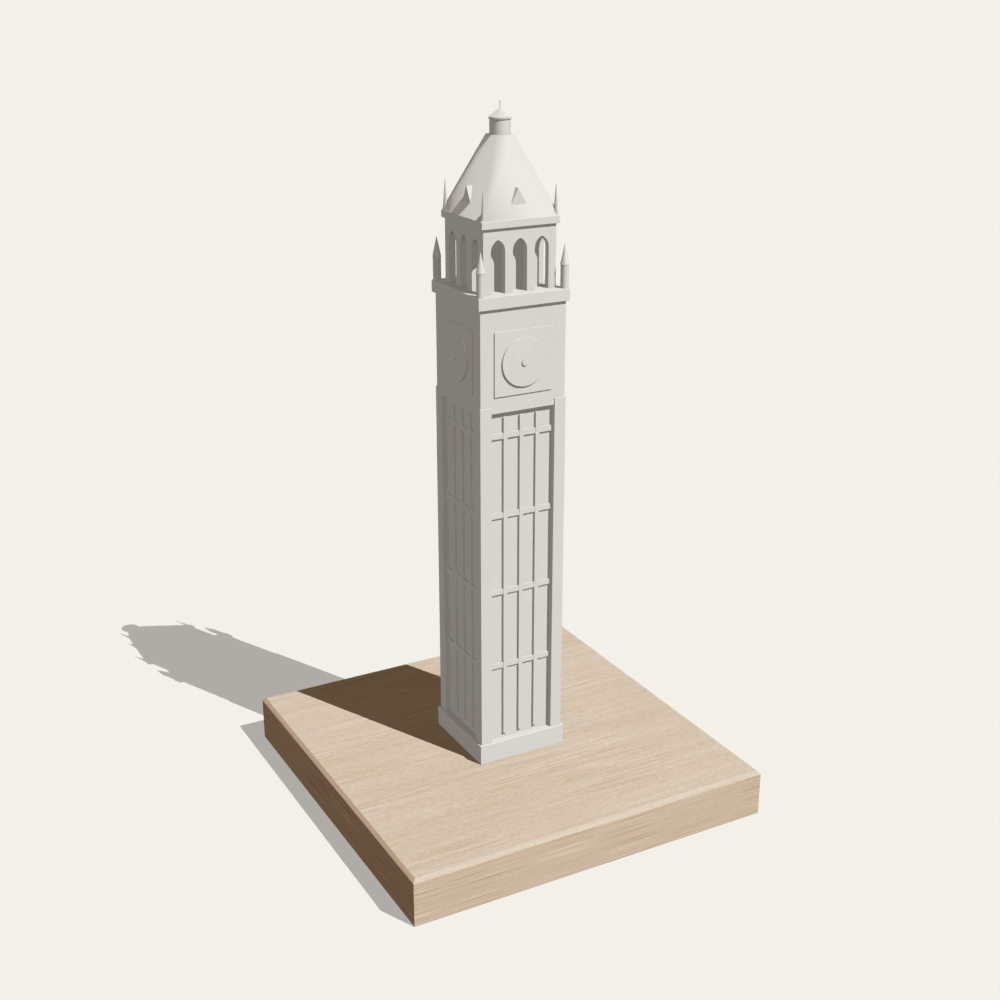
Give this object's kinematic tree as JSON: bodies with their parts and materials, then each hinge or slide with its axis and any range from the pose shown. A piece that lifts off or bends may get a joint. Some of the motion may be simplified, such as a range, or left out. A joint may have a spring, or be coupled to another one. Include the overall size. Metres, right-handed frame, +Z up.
{
  "type": "clock tower scale model",
  "caption": "Display model of a tall clock tower: panelled shaft, clock stage, arched belfry and steep roof with a lantern, on a square chamfered wooden board",
  "frame": {"origin": "middle of the underside of the wooden board, on the tower's axis", "axes": "+Z up along the tower; the front of the tower and of the board faces -Y; +X is to the right seen from the front"},
  "size_m": [0.24, 0.24, 0.4312],
  "materials": {
    "board_wood": "fine-sanded, clear matt oil",
    "tower_paint": "smooth matt spray finish",
    "roof_paint": "smooth matt spray finish"
  },
  "bodies": {
    "root": {"base_board": "board_wood", "tower_plinth": "tower_paint", "clock_stage": "tower_paint", "clock_stage_aprons": "tower_paint", "dial_hubs": "tower_paint", "gallery_slab": "tower_paint", "belfry_core": "tower_paint", "lower_pinnacles": "tower_paint", "lower_spires": "tower_paint", "eaves_slab": "tower_paint", "lantern_drum": "tower_paint", "finial": "tower_paint", "roof": "roof_paint", "roof_gablets": "roof_paint", "upper_pinnacles": "roof_paint", "lantern_cap": "roof_paint", "front_left_pier": "tower_paint", "front_right_pier": "tower_paint", "back_right_pier": "tower_paint", "back_left_pier": "tower_paint", "front_shaft_wall": "tower_paint", "front_mullions": "tower_paint", "front_bands": "tower_paint", "front_dial_panel": "tower_paint", "front_dial": "tower_paint", "front_belfry_wall": "tower_paint", "right_shaft_wall": "tower_paint", "right_mullions": "tower_paint", "right_bands": "tower_paint", "right_dial_panel": "tower_paint", "right_dial": "tower_paint", "right_belfry_wall": "tower_paint", "back_shaft_wall": "tower_paint", "back_mullions": "tower_paint", "back_bands": "tower_paint", "back_dial_panel": "tower_paint", "back_dial": "tower_paint", "back_belfry_wall": "tower_paint", "left_shaft_wall": "tower_paint", "left_mullions": "tower_paint", "left_bands": "tower_paint", "left_dial_panel": "tower_paint", "left_dial": "tower_paint", "left_belfry_wall": "tower_paint"}
  },
  "joints": []
}
